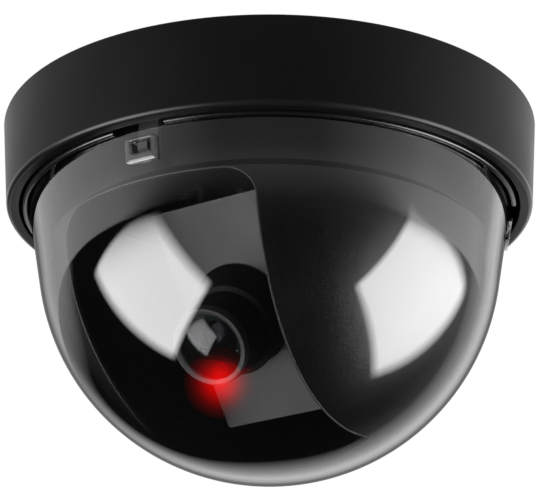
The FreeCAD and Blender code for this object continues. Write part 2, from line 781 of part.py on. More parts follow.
def tilt_pivot_screws():
    """Shoulder screws with a broad slotted head, one through each yoke arm."""
    shoulder_end = yoke_outer + seat_gap
    head_end = shoulder_end + pivot_head_height
    thread = crossbar(pivot_thread_radius, pivot_thread_end, plate_half_width)
    shoulder = crossbar(pivot_radius, plate_half_width, shoulder_end)
    head = crossbar(pivot_head_radius, shoulder_end, head_end)
    rim = [e for e in head.Edges if abs(e.BoundBox.Center.x - head_end) < 1e-6]
    head = head.makeChamfer(pivot_head_chamfer, rim)
    piece = joined([thread, shoulder, head])
    slot = block(head_end - pivot_slot_depth, head_end + past,
                 -pivot_slot_width / 2, pivot_slot_width / 2,
                 -pivot_head_radius, pivot_head_radius)
    piece = piece.cut(slot)
    return Part.makeCompound([piece, mirrored(piece)])


def tilt_washers():
    washer = crossbar(pivot_head_radius, plate_half_width, yoke_inner - seat_gap / 2)
    washer = washer.cut(crossbar(pivot_radius + screw_gap, 0, base_radius))
    return Part.makeCompound([washer, mirrored(washer)])


# ---- Camera module, in the lens frame -----------------------------------------------------------
def housing_foot():
    """The foot leans: its end at the plate is wider than its front, and lies higher."""
    ends = []
    for radius, rise, height in (
            (housing_foot_radius + housing_foot_flare, housing_foot_rise, plate_front + housing_seat_height),
            (housing_foot_radius, 0.0, foot_front)):
        end = Part.Circle(FreeCAD.Vector(0, rise, height), Z_AXIS, radius)
        ends.append(Part.Wire(end.toShape()))
    return Part.makeLoft(ends, True, True)


def module_housing():
    body = joined([housing_foot(),
                   cylinder(housing_tube_radius, foot_front, tube_front),
                   cylinder(housing_seat_radius, plate_front, plate_front + housing_seat_height),
                   cylinder(housing_spigot_radius, spigot_back, plate_front)])
    step = [e for e in body.Edges if abs(e.BoundBox.Center.z - foot_front) < 1e-6
            and e.BoundBox.XMax > (housing_tube_radius + housing_foot_radius) / 2]
    body = body.makeFillet(housing_step_round, step)
    groove = tube(housing_spigot_radius + past, housing_spigot_radius - clip_groove_depth,
                  clip_back - seat_gap, plate_back)
    cuts = [groove, cylinder(housing_rear_bore_radius, spigot_back - past, tube_front + past),
            cylinder(housing_bore_radius, lamp_board_back, tube_front + past)]
    hole = screw_hole(spigot_back - past, plate_front, board_screw_circle)
    cuts += around(hole, board_screw_count, 180)
    return without(body, cuts)


def roll_clip():
    """Open spring clip behind the plate, in the housing's groove."""
    inner = housing_spigot_radius - clip_groove_depth + seat_gap
    outer = clip_radius
    ring = tube(outer, inner, clip_back, clip_back + clip_thickness)
    half = math.radians(clip_opening / 2)
    x, y = 2 * outer * math.cos(half), 2 * outer * math.sin(half)
    low = clip_back - past
    corners = [FreeCAD.Vector(0, 0, low), FreeCAD.Vector(x, y, low), FreeCAD.Vector(x, -y, low)]
    wedge = Part.Face(Part.makePolygon(corners + corners[:1]))
    return ring.cut(wedge.extrude(Z_AXIS * (clip_thickness + 2 * past)))


def bezel_ring():
    lip_radius = glass_radius - bezel_lip
    lip_back = bezel_front - bezel_lip_thickness
    return turned([(housing_bore_radius, tube_front), (bezel_radius, tube_front),
                   (bezel_radius, bezel_front - bezel_edge),
                   (bezel_radius - bezel_edge, bezel_front), (lip_radius, bezel_front),
                   (lip_radius, lip_back), (housing_bore_radius, lip_back)])


def lens_slice(radius, curve, edge_front, edge_back, inner_curve=None):
    """A round glass with a convex front face. Its back is flat, or hollow where an inner curve
    is given."""
    sag = curve - math.sqrt(curve ** 2 - radius ** 2)
    angle = math.asin(radius / curve) / 2
    centre = edge_front + sag - curve
    middle = (curve * math.sin(angle), centre + curve * math.cos(angle))
    solid = turned([(0, edge_back), (radius, edge_back), (radius, edge_front),
                    (0, edge_front + sag)], {2: middle})
    if inner_curve:
        solid = solid.cut(Part.makeSphere(inner_curve, FreeCAD.Vector(0, 0, centre)))
    return solid


def front_glass():
    return lens_slice(glass_radius, front_glass_curve, glass_edge_front, glass_edge_back,
                      front_glass_curve - front_glass_thickness)


def lamp_board():
    return tube(housing_bore_radius - seat_gap, lens_glass_radius + lens_gap,
                lamp_board_back, lamp_board_front)


def status_lamp():
    low = lamp_board_front
    body = cylinder(lamp_flange_radius, low, low + lamp_flange_thickness, 0, -lamp_offset)
    top = glass_edge_back - seat_gap - lamp_radius
    body = body.fuse(cylinder(lamp_radius, low, top, 0, -lamp_offset))
    cap = Part.makeSphere(lamp_radius, FreeCAD.Vector(0, -lamp_offset, top), Z_AXIS, 0, 90, 360)
    return azimuth(body.fuse(cap).removeSplitter(), lamp_azimuth)


def lens_barrel():
    thread = cylinder(lens_thread_radius, lens_back, lens_head_back)
    head = cylinder(lens_head_radius, lens_head_back, lens_head_front)
    body = joined([thread, head])
    cuts = [cylinder(lens_rear_glass_radius, lens_back - past, lens_head_front),
            cylinder(lens_glass_radius + seat_gap, lens_front_bore_back, lens_head_front + past)]
    notch = cylinder(lens_notch_radius, lens_head_back - past, lens_head_front + past,
                     0, -lens_head_radius)
    cuts += around(notch, lens_head_notches)
    return without(body, cuts)


def lens_front_element():
    return lens_slice(lens_glass_radius, lens_glass_curve, lens_head_front - lens_glass_recess,
                      lens_front_bore_back)


def lens_rear_element():
    low = lens_back + lens_rear_glass_recess
    return cylinder(lens_rear_glass_radius - seat_gap, low, low + lens_rear_glass_thickness)


def lock_ring():
    front = lock_ring_back + lock_ring_thickness
    ring = tube(lens_head_radius, lens_thread_radius + screw_gap, lock_ring_back, front)
    notch = block(-lock_ring_notch_width / 2, lock_ring_notch_width / 2, -lens_head_radius - past,
                  -lens_head_radius + lock_ring_notch_depth, lock_ring_back - past, front + past)
    return without(ring, around(notch, lock_ring_notches))


def lens_holder():
    flange = cylinder(holder_flange_radius, holder_back, holder_flange_front)
    neck = cylinder(holder_neck_radius, holder_flange_front, holder_front)
    body = joined([flange, neck])
    pocket = math.hypot(sensor_width, sensor_height) / 2 + seat_gap
    cuts = [cylinder(pocket, holder_back - past, sensor_front + seat_gap),
            cylinder(filter_radius - filter_ledge, holder_back, filter_back),
            cylinder(filter_radius + seat_gap, filter_back, filter_front + seat_gap),
            cylinder(holder_bore_radius, filter_front, holder_front + past)]
    hole = screw_hole(holder_back - past, holder_flange_front + past, board_screw_circle)
    cuts += around(hole, board_screw_count, 180)
    return without(body, cuts)


def infrared_filter():
    return cylinder(filter_radius, filter_back, filter_front)


def image_sensor():
    half_x, half_y = sensor_width / 2, sensor_height / 2
    window_x, window_y = half_x - sensor_rim, half_y - sensor_rim
    body = block(-half_x, half_x, -half_y, half_y, holder_back, sensor_front)
    window = block(-window_x, window_x, -window_y, window_y,
                   sensor_front - sensor_window_depth, sensor_front + past)
    return body.cut(window)


def round_board(back):
    board = cylinder(board_radius, back, back + board_thickness)
    hole = screw_hole(back - past, back + board_thickness + past, board_screw_circle)
    return without(board, around(hole, board_screw_count, 180))


def board_chips(chips, face):
    """Parts that hang from a round board's rear face. Their places are shares of its radius."""
    parts = []
    for across, up, width, depth, height in chips:
        x, y = across * board_radius, up * board_radius
        parts.append(block(x - width / 2, x + width / 2, y - depth / 2, y + depth / 2,
                           face - height, face))
    return parts


def sensor_board_parts():
    chips = [(0.0, 0.0, driver_width, driver_width, small_part_height),
             (-0.58, 0.29, small_part_width, small_part_length, chip_height),
             (0.57, 0.21, small_part_length, small_part_width, chip_height),
             (-0.58, -0.04, small_part_width, small_part_width, small_part_height)]
    return Part.makeCompound(board_chips(chips, sensor_board_back))


def board_link():
    """Stacking connector between the two boards."""
    half = board_link_width / 2
    return block(-half, half, -board_link_drop - board_link_depth / 2,
                 -board_link_drop + board_link_depth / 2, processor_board_front, sensor_board_back)


def board_spacers():
    piece = tube(board_spacer_radius, small_screw_radius + screw_gap, processor_board_front,
                 sensor_board_back, 0, -board_screw_circle)
    return Part.makeCompound(around(piece, board_screw_count, 180))


def board_screws():
    tip = spigot_back + board_screw_reach
    piece = screw(small_screw_radius, small_head_radius, small_head_height,
                  processor_board_back, tip, 0, -board_screw_circle)
    return Part.makeCompound(around(piece, board_screw_count, 180))


def processor_board_parts():
    """Chips and the lead's socket."""
    chips = [(0.04, 0.08, processor_width, processor_width, chip_height),
             (-0.6, 0.25, small_part_length, small_part_length, small_part_height),
             (0.72, 0.21, small_part_width, small_part_length, small_part_height)]
    parts = board_chips(chips, processor_board_back)
    parts.append(hanging_socket(3, -lead_socket_drop, processor_board_back))
    return Part.makeCompound(parts)


# ---- Where each group stands ---------------------------------------------------------------------
FIXED = FreeCAD.Placement()
PAN = FreeCAD.Placement(ORIGIN, FreeCAD.Rotation(Z_AXIS, pan_rest_azimuth))
LENS = PAN.multiply(FreeCAD.Placement(FreeCAD.Vector(0, 0, tilt_axis_z),
                                      FreeCAD.Rotation(X_AXIS, 90 + tilt_rest_angle)))

hooks = around(latch_hook(), latch_count, latch_azimuth)
washer = tube(hub_radius - seat_gap, journal_radius + seat_gap, disc_top_z, hub_z)

nodes = [
    ("base_housing", base_housing(), FIXED),
    ("cable_grommet", cable_grommet(), FIXED),
    ("catch_ring", catch_ring(), FIXED),
    ("catch_ring_screws", catch_ring_screws(), FIXED),
    ("latch_hook_front", hooks[0], FIXED),
    ("latch_hook_right", hooks[1], FIXED),
    ("latch_hook_rear", hooks[2], FIXED),
    ("dome_cover", dome_cover(), FIXED),
    ("pan_friction_washer", washer, FIXED),
    ("pan_retainer", pan_retainer(), FIXED),
    ("pan_retainer_screws", pan_retainer_screws(), FIXED),
    ("main_board", main_board(), FIXED),
    ("main_board_parts", main_board_parts(), FIXED),
    ("main_board_screws", main_board_screws(), FIXED),
    ("wiring_sockets", wiring_sockets(), FIXED),
    ("pan_disc", pan_disc(), PAN),
    ("liner", liner(), PAN),
    ("liner_screws", liner_screws(), PAN),
    ("yoke_arm_right", yoke_arm(), PAN),
    ("yoke_arm_left", mirrored(yoke_arm()), PAN),
    ("yoke_screws", yoke_screws(), PAN),
    ("carrier_plate", carrier_plate(), LENS),
    ("tilt_pivot_screws", tilt_pivot_screws(), LENS),
    ("tilt_washers", tilt_washers(), LENS),
    ("module_housing", module_housing(), LENS),
    ("roll_clip", roll_clip(), LENS),
    ("bezel_ring", bezel_ring(), LENS),
    ("front_glass", front_glass(), LENS),
    ("lamp_board", lamp_board(), LENS),
    ("status_lamp", status_lamp(), LENS),
    ("lens_barrel", lens_barrel(), LENS),
    ("lens_front_element", lens_front_element(), LENS),
    ("lens_rear_element", lens_rear_element(), LENS),
    ("lock_ring", lock_ring(), LENS),
    ("lens_holder", lens_holder(), LENS),
    ("infrared_filter", infrared_filter(), LENS),
    ("image_sensor", image_sensor(), LENS),
    ("sensor_board", round_board(sensor_board_back), LENS),
    ("sensor_board_parts", sensor_board_parts(), LENS),
    ("board_link", board_link(), LENS),
    ("board_spacers", board_spacers(), LENS),
    ("board_screws", board_screws(), LENS),
    ("processor_board", round_board(processor_board_back), LENS),
    ("processor_board_parts", processor_board_parts(), LENS),
]

os.makedirs("parts", exist_ok=True)
for name, shape, place in nodes:
    shape.transformShape(place.toMatrix())
    shape.exportStep("parts/" + name + ".step")
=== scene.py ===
import json
import math

import bmesh
import bpy
from mathutils import Matrix, Vector


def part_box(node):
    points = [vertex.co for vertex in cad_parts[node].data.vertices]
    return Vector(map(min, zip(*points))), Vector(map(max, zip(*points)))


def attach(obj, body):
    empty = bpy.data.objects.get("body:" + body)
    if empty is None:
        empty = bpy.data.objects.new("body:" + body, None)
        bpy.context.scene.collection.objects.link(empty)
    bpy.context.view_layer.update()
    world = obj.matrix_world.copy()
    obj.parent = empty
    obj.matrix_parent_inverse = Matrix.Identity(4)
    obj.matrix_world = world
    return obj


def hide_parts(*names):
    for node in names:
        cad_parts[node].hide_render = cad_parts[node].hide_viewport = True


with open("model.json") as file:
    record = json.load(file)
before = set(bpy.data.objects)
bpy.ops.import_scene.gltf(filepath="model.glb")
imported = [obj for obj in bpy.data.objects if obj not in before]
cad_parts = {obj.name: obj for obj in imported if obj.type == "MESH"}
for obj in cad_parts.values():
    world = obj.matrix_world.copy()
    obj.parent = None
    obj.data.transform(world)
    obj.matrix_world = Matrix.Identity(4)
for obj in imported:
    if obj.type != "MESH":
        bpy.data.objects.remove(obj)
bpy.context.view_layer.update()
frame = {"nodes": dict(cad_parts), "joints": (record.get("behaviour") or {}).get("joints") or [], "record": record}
joints = {joint["name"]: joint for joint in frame["joints"]}

MM = 0.001


# ---- Sizes in metres; the outer ones come from the frame -----------------------------------------
base_low, base_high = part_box("base_housing")
base_radius = base_high.x
mouth_z = base_low.z
ring_low, ring_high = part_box("catch_ring")
disc_low, disc_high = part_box("pan_disc")
dome_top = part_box("dome_cover")[1].z
liner_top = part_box("liner")[1].z
retainer_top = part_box("pan_retainer")[1].z
board_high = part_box("main_board")[1]
hook_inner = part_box("latch_hook_right")[0].x

base_draft = 1.2 * MM
base_wall = 3.0 * MM
base_floor = 2.5 * MM
base_edge_round = 1.0 * MM
base_top_round = 0.5 * MM
hub_radius = 13.0 * MM
journal_radius = 9.0 * MM
entry_bore_radius = 6.0 * MM
mount_circle_radius = 46.0 * MM
mount_hole_radius = 2.25 * MM
mount_pad_radius = 4.5 * MM
mount_pad_height = 1.5 * MM
board_post_radius = 2.2 * MM
board_screw_circle = board_high.x - 7.0 * MM
board_screw_spread = 62.0
stop_width = 4.0 * MM
stop_depth = 3.2 * MM
pan_washer_thickness = 0.5 * MM
floor_overlap = 0.1 * MM
cut_margin = 1.0 * MM
mouth_inner_radius = base_radius - base_draft - base_wall

groove_width = 0.8 * MM
ring_radius = mouth_inner_radius - groove_width
ring_wall = 1.2 * MM
ring_inner_radius = ring_radius - ring_wall
ring_web_thickness = 2.0 * MM
ring_web_low = ring_high.z - ring_web_thickness
ring_web_width = 3.0 * MM
ring_notch_width = 13.0 * MM

latch_count = 3
latch_azimuth = -30.0
moving_gap = 0.3 * MM
dome_wall = 1.8 * MM
rim_round = 0.5 * MM
dome_step = 2.4 * MM
dome_drop = 10.1 * MM
skirt_radius = ring_inner_radius - moving_gap
dome_radius = skirt_radius - dome_step
dome_z = mouth_z - dome_drop
skirt_lean = (math.acos(dome_radius / math.hypot(skirt_radius, dome_drop))
              - math.atan2(dome_drop, skirt_radius))
frame_width = 7.9 * MM
frame_height = 5.5 * MM
frame_proud = 0.9 * MM
frame_top = mouth_z - 2.1 * MM
frame_middle = frame_top - frame_height / 2
window_width = 5.2 * MM
window_height = 2.9 * MM
window_top = mouth_z - 2.6 * MM
window_middle = window_top - window_height / 2

ring_post_radius = 2.6 * MM
ring_screw_circle = skirt_radius - dome_wall - moving_gap - 1.5 * MM

liner_wall = 1.2 * MM
flange_lap = 4.0 * MM
liner_radius = dome_radius - dome_wall - 0.5 * MM
shoulder_z = dome_z + 0.5 * MM
slot_half_width = 25.4 * MM
slot_top_z = dome_z + 0.3 * MM
slot_corner_radius = 6.5 * MM
slot_side_radius = 200.0 * MM
slot_past_pole = 8.0 * MM
hook_travel = 2.8 * MM
collar_radius = hook_inner - hook_travel


# ---- The lens frame: X along the tilt axle, Z along the view -------------------------------------
tilt = joints["tilt_swing"]
roll = joints["module_roll"]
lens_x = Vector(tilt["axis"])
lens_z = Vector(roll["axis"])
lens_y = lens_z.cross(lens_x)
lens_turn = Matrix((lens_x, lens_y, lens_z)).transposed().to_4x4()
LENS = Matrix.Translation(Vector(tilt["pos_m"])) @ lens_turn
pan_azimuth = math.degrees(math.atan2(lens_x.y, lens_x.x))

plate_front = 13.0 * MM
foot_radius = 10.8 * MM
foot_flare = 0.8 * MM
foot_rise = 1.8 * MM
seat_height = 0.4 * MM
foot_front = plate_front + 7.5 * MM
spigot_radius = 9.95 * MM
spigot_length = 3.0 * MM
tube_radius = 9.25 * MM
tube_front = foot_front + 8.7 * MM
bore_radius = 8.2 * MM
bore_depth = 4.2 * MM
rear_bore_radius = 7.2 * MM
bezel_radius = 8.95 * MM
bezel_front = tube_front + 2.1 * MM
lip_width = 0.35 * MM
lip_thickness = 0.35 * MM
glass_radius = 8.1 * MM
glass_thickness = 1.2 * MM
glass_curve = 14.0 * MM
lamp_low, lamp_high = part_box("status_lamp")
lamp_spot = (lamp_low + lamp_high) / 2


# ---- Mesh helpers --------------------------------------------------------------------------------
def arc(centre, radius, start, end, steps):
    """Points (radius, height) along an arc; the angles are in degrees from the level outwards."""
    points = []
    for number in range(steps + 1):
        angle = math.radians(start + (end - start) * number / steps)
        points.append((centre[0] + radius * math.cos(angle), centre[1] + radius * math.sin(angle)))
    return points


def run(start, end, steps):
    """Points along a straight line, without its last one."""
    return [(start[0] + (end[0] - start[0]) * n / steps, start[1] + (end[1] - start[1]) * n / steps)
            for n in range(steps)]


def new_object(name, data):
    thing = bpy.data.objects.new(name, data)
    bpy.context.scene.collection.objects.link(thing)
    return thing


def solid(name, bm):
    """Turns a finished bmesh into an object, with its faces outwards."""
    bmesh.ops.recalc_face_normals(bm, faces=bm.faces)
    mesh = bpy.data.meshes.new(name)
    bm.to_mesh(mesh)
    bm.free()
    return new_object(name, mesh)


def lathe(name, profile, steps):
    """Turns a closed outline of (radius, height) points about Z. A radius of 0 closes it on the axis.
    A third value moves that ring's centre along Y."""
    bm = bmesh.new()
    rings = []
    for radius, height, *rise in profile:
        if radius < 1e-9:
            rings.append([bm.verts.new((0, 0, height))])
        else:
            rings.append([bm.verts.new((radius * math.cos(2 * math.pi * n / steps),
                                        radius * math.sin(2 * math.pi * n / steps) + sum(rise), height))
                          for n in range(steps)])
    for lower, upper in zip(rings, rings[1:] + rings[:1]):
        if len(lower) == 1 and len(upper) == 1:
            continue
        for n in range(steps):
            m = (n + 1) % steps
            corners = [lower[n % len(lower)], lower[m % len(lower)]]
            corners += [upper[m % len(upper)], upper[n % len(upper)]]
            bm.faces.new(list(dict.fromkeys(corners)))
    return solid(name, bm)


def closed_grid(name, rows):
    """Joins rows of points, each of them a closed ring, into one closed band."""
    bm = bmesh.new()
    grid = [[bm.verts.new(point) for point in row] for row in rows]
    for n, row in enumerate(grid):
        after = grid[(n + 1) % len(grid)]
        for k in range(len(row)):
            m = (k + 1) % len(row)
            bm.faces.new([row[k], row[m], after[m], after[k]])
    return solid(name, bm)


def smooth(piece, angle=35.0):
    """Shades a piece smoothly, apart from edges that turn by more than the angle in degrees."""
    mesh = piece.data
    mesh.polygons.foreach_set("use_smooth", [True] * len(mesh.polygons))
    mesh.set_sharp_from_angle(angle=math.radians(angle))
    return piece


def prism(name, outline, low, high):
    """A closed solid over a flat outline of (x, y) points, from z = low to z = high."""
    bm = bmesh.new()
    bottom = [bm.verts.new((x, y, low)) for x, y in outline]
    top = [bm.verts.new((x, y, high)) for x, y in outline]
    bm.faces.new(bottom)
    bm.faces.new(top)
    for n in range(len(outline)):
        m = (n + 1) % len(outline)
        bm.faces.new([bottom[n], bottom[m], top[m], top[n]])
    return solid(name, bm)


def circle(radius, y, steps=48):
    """A round outline with its centre on the Y axis."""
    angles = [2 * math.pi * n / steps for n in range(steps)]
    return [(radius * math.cos(angle), y + radius * math.sin(angle)) for angle in angles]


def turn(piece, degrees):
    piece.data.transform(Matrix.Rotation(math.radians(degrees), 4, "Z"))
    return piece


def at_latches(make, offset=0.0):
    """Makes a piece at each latch, or at an offset in degrees from each of them."""
    first = latch_azimuth + offset
    return [turn(make(), first + number * 360.0 / latch_count) for number in range(latch_count)]


def combine(piece, tools, operation):
    """Applies a Boolean with each tool and removes the tools."""
    for tool in tools:
        change = piece.modifiers.new("change", "BOOLEAN")
        change.object = tool
        change.operation = operation
        change.solver = "EXACT"
        graph = bpy.context.evaluated_depsgraph_get()
        mesh = bpy.data.meshes.new_from_object(piece.evaluated_get(graph))
        piece.modifiers.clear()
        piece.data = mesh
        bpy.data.objects.remove(tool)
    return piece


def into_lens_frame(piece):
    piece.data.transform(LENS)
    return piece


# ---- Materials -----------------------------------------------------------------------------------
class Nodes:
    """Short names for making and joining shader nodes. A value given to a new node is a property of
    it or else one of its inputs."""

    def __init__(self, tree):
        self.tree = tree
        tree.nodes.clear()

    def add(self, kind, **values):
        node = self.tree.nodes.new(kind)
        for key, value in values.items():
            if hasattr(node, key):
                setattr(node, key, value)
            else:
                node.inputs[key].default_value = value
        return node

    def join(self, output, target):
        self.tree.links.new(output, target)


def new_material(name):
    material = bpy.data.materials.new(name)
    material.use_nodes = True
    return material, Nodes(material.node_tree)


def noise(nodes, coordinates, scale, detail):
    node = nodes.add("ShaderNodeTexNoise")
    node.inputs["Scale"].default_value = scale
    node.inputs["Detail"].default_value = detail
    nodes.join(coordinates.outputs["Object"], node.inputs["Vector"])
    return node.outputs["Fac"]


def calculate(nodes, operation, *values):
    """A Math node; each value is a number or another node's output."""
    node = nodes.add("ShaderNodeMath", operation=operation)
    for socket, value in zip(node.inputs, values):
        if isinstance(value, (int, float)):
            socket.default_value = value
        else:
            nodes.join(value, socket)
    return node.outputs[0]


def spread(nodes, source, low, high, near, far):
    """Runs from low to high while the source runs from near to far."""
    node = nodes.add("ShaderNodeMapRange")
    node.inputs["From Min"].default_value = near
    node.inputs["From Max"].default_value = far
    node.inputs["To Min"].default_value = low
    node.inputs["To Max"].default_value = high
    nodes.join(source, node.inputs["Value"])
    return node.outputs["Result"]


def surface(name, colour, colour_to, rough, rough_to, grain, bump, bump_depth=0.05 * MM, blotch=60.0,
            metallic=0.0, specular=0.5, coat=0.0, coat_rough=0.1, glow=0.0):
    """A moulded, painted or metal finish: colour and roughness drift over the surface in blotches,
    and a fine grain breaks up both and raises the bump. Glow is how strongly it shines white."""
    material, nodes = new_material(name)
    coordinates = nodes.add("ShaderNodeTexCoord")
    fine = noise(nodes, coordinates, grain, 2.0)
    broad = noise(nodes, coordinates, blotch, 4.0)
    both = calculate(nodes, "ADD", fine, broad)
    blend = spread(nodes, both, 0.0, 1.0, 0.75, 1.25)
    mix = nodes.add("ShaderNodeMix", data_type="RGBA")
    mix.inputs["A"].default_value = (*colour, 1.0)
    mix.inputs["B"].default_value = (*colour_to, 1.0)
    nodes.join(blend, mix.inputs["Factor"])
    roughness = spread(nodes, both, rough, rough_to, 0.75, 1.25)
    lift = nodes.add("ShaderNodeBump")
    lift.inputs["Strength"].default_value = bump
    lift.inputs["Distance"].default_value = bump_depth
    nodes.join(fine, lift.inputs["Height"])
    shader = nodes.add("ShaderNodeBsdfPrincipled")
    shader.inputs["Metallic"].default_value = metallic
    shader.inputs["Specular IOR Level"].default_value = specular
    shader.inputs["Coat Weight"].default_value = coat
    shader.inputs["Coat Roughness"].default_value = coat_rough
    shader.inputs["Emission Color"].default_value = (1, 1, 1, 1)
    shader.inputs["Emission Strength"].default_value = glow
    nodes.join(mix.outputs["Result"], shader.inputs["Base Color"])
    nodes.join(roughness, shader.inputs["Roughness"])
    nodes.join(lift.outputs["Normal"], shader.inputs["Normal"])
    output = nodes.add("ShaderNodeOutputMaterial")
    nodes.join(shader.outputs["BSDF"], output.inputs["Surface"])
    return material


def blend_shaders(nodes, factor, first, second):
    node = nodes.add("ShaderNodeMixShader")
    nodes.join(factor, node.inputs["Fac"])
    nodes.join(first, node.inputs[1])
    nodes.join(second, node.inputs[2])
    return node.outputs["Shader"]


def clear_shell(name, tint, ior, rough, dust, edge):
    """A clear wall. Its outward faces have a mirror gloss by Fresnel, both sides let tinted light
    through, and dust and fine scuffs dull it a little. Where it is seen more edge-on than the edge
    value, it goes dark, a painted shade that outlines its edge, and soon after that its gloss fades, which deepens
    that outline."""
    edge_width = 0.12
    gloss_margin = 0.14
    rim_gloss = 0.15
    material, nodes = new_material(name)
    coordinates = nodes.add("ShaderNodeTexCoord")
    scuffs = noise(nodes, coordinates, 900.0, 6.0)
    broad = noise(nodes, coordinates, 35.0, 2.0)
    grime = calculate(nodes, "MULTIPLY", scuffs, broad)
    film = spread(nodes, grime, dust * 0.2, dust, 0.1, 0.5)
    sheen = spread(nodes, scuffs, rough, rough * 3.0, 0.4, 0.7)
    slant = nodes.add("ShaderNodeLayerWeight", Blend=0.5).outputs["Facing"]
    face_on = spread(nodes, slant, 1.0, 0.0, edge, edge + edge_width)
    # Painted shade: seen edge-on, the light let through turns dark grey, a dark outline round the edge.
    colour = nodes.add("ShaderNodeMix", data_type="RGBA")
    colour.inputs["A"].default_value = (0.05, 0.05, 0.05, 1.0)
    colour.inputs["B"].default_value = (*tint, 1.0)
    nodes.join(face_on, colour.inputs["Factor"])
    through = nodes.add("ShaderNodeBsdfTransparent")
    nodes.join(colour.outputs["Result"], through.inputs["Color"])
    gloss = nodes.add("ShaderNodeBsdfGlossy")
    gloss.inputs["Color"].default_value = (1, 1, 1, 1)
    nodes.join(sheen, gloss.inputs["Roughness"])
    fresnel = nodes.add("ShaderNodeFresnel", IOR=ior)
    side = nodes.add("ShaderNodeNewGeometry")
    outward = calculate(nodes, "SUBTRACT", 1.0, side.outputs["Backfacing"])
    share = calculate(nodes, "MULTIPLY", fresnel.outputs["Fac"], outward)
    # The gloss fading edge-on deepens the painted dark outline.
    rim = spread(nodes, slant, 1.0, rim_gloss, edge + gloss_margin, edge + gloss_margin + edge_width)
    share = calculate(nodes, "MULTIPLY", share, rim)
    clear = blend_shaders(nodes, share, through.outputs["BSDF"], gloss.outputs["BSDF"])
    dull = nodes.add("ShaderNodeBsdfDiffuse")
    dull.inputs["Color"].default_value = (0.8, 0.8, 0.8, 1)
    dusty = blend_shaders(nodes, film, clear, dull.outputs["BSDF"])
    output = nodes.add("ShaderNodeOutputMaterial")
    nodes.join(dusty, output.inputs["Surface"])
    return material


def lit_lamp(name, colour, strength):
    material, nodes = new_material(name)
    coordinates = nodes.add("ShaderNodeTexCoord")
    grain = noise(nodes, coordinates, 1200.0, 2.0)
    level = spread(nodes, grain, strength * 0.85, strength, 0.35, 0.65)
    shader = nodes.add("ShaderNodeBsdfPrincipled")
    shader.inputs["Base Color"].default_value = (*colour, 1.0)
    shader.inputs["Roughness"].default_value = 0.15
    shader.inputs["Emission Color"].default_value = (*colour, 1.0)
    nodes.join(level, shader.inputs["Emission Strength"])
    output = nodes.add("ShaderNodeOutputMaterial")
    nodes.join(shader.outputs["BSDF"], output.inputs["Surface"])
    return material


def grey(value):
    return (value, value, value * 1.02)


def plastic(name, dark, pale, rough, rough_to, grain, bump, **more):
    """A black or grey finish between two levels of grey."""
    return surface(name, grey(dark), grey(pale), rough, rough_to, grain, bump, **more)


def metal(name, colour, colour_to, rough, rough_to, grain, bump):
    return surface(name, colour, colour_to, rough, rough_to, grain, bump, metallic=1.0)


# A solid finish has two colours or greys, two roughnesses, the scale of its grain, and its bump.
finishes = {
    "black_shell": plastic("black_shell", 0.0018, 0.003, 0.42, 0.5, 3200, 0.12, blotch=45,
                           specular=0.12),
    "black_inner": plastic("black_inner", 0.006, 0.009, 0.5, 0.62, 2600, 0.15),
    "liner_black": plastic("liner_black", 0.001, 0.0022, 0.3, 0.38, 1700, 0.4, bump_depth=0.08 * MM,
                           specular=0.6),
    "module_black": plastic("module_black", 0.002, 0.0035, 0.5, 0.6, 2800, 0.2, specular=0.1),
    "latch_plastic": plastic("latch_plastic", 0.045, 0.065, 0.35, 0.5, 2600, 0.1, specular=0.3),
    "grey_plate": plastic("grey_plate", 0.017, 0.022, 0.42, 0.52, 3400, 0.15, blotch=70),
    "bezel_metal": plastic("bezel_metal", 0.021, 0.031, 0.4, 0.5, 3000, 0.05, specular=0.3),
    "rubber": plastic("rubber", 0.012, 0.02, 0.7, 0.85, 2200, 0.3),
    "chips": plastic("chips", 0.012, 0.02, 0.4, 0.6, 2600, 0.15),
    "black_metal": plastic("black_metal", 0.012, 0.018, 0.3, 0.42, 2400, 0.1, metallic=0.6),
    "nylon": surface("nylon", (0.6, 0.58, 0.5), (0.7, 0.68, 0.6), 0.4, 0.55, 2400, 0.1),
    "circuit_board": surface("circuit_board", (0.008, 0.06, 0.025), (0.014, 0.085, 0.035), 0.25, 0.4,
                             900, 0.1),
    "zinc_steel": metal("zinc_steel", (0.42, 0.43, 0.44), (0.5, 0.5, 0.52), 0.3, 0.45, 1800, 0.1),
    "steel": metal("steel", (0.5, 0.5, 0.51), (0.6, 0.6, 0.62), 0.25, 0.38, 2200, 0.08),
    "brass": metal("brass", (0.55, 0.38, 0.14), (0.65, 0.48, 0.2), 0.25, 0.4, 2200, 0.08),
    "lens_glass": surface("lens_glass", (0.004, 0.004, 0.012), (0.008, 0.006, 0.02), 0.03, 0.06,
                          600, 0.0, coat=1.0, coat_rough=0.02),
    "filter_glass": surface("filter_glass", (0.02, 0.05, 0.05), (0.03, 0.07, 0.06), 0.04, 0.08,
                            600, 0.0),
    "clear_dome": clear_shell("clear_dome", (0.94, 0.94, 0.945), 1.9, 0.012, 0.0015, 0.6),
    "front_glass": clear_shell("front_glass", (0.5, 0.5, 0.52), 1.5, 0.02, 0.004, 0.9),
    "lamp_red": lit_lamp("lamp_red", (1.0, 0.0, 0.0), 0.35),
}
ring_black = plastic("ring_black", 0.003, 0.006, 0.22, 0.3, 3200, 0.1, specular=0.8)
# Painted highlight: a paler, glossier copy of the shell for the edge round at the mouth. Its paler colour is
# painted light; its lower roughness and higher specular give real gloss.
edge_highlight_black = plastic("edge_highlight_black", 0.003, 0.006, 0.3, 0.38, 3200, 0.12, specular=0.42)
# Painted highlight: the bead on the slot's edge is much paler than the liner, a light line painted along that
# edge.
painted_slot_highlight = plastic("painted_slot_highlight", 0.022, 0.036, 0.4, 0.55, 1700, 0.3)

node_slot = {part["node"]: part["material_slot"] for part in frame["record"]["subparts"]}
for node, thing in frame["nodes"].items():
    thing.data.materials.clear()
    thing.data.materials.append(finishes[node_slot[node]])


def place(piece, body, node):
    """Dresses a detailed piece, and puts it on its body in the CAD node's stead."""
    piece.data.materials.clear()
    piece.data.materials.append(finishes[node_slot[node]])
    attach(piece, body)
    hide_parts(node)
    return piece


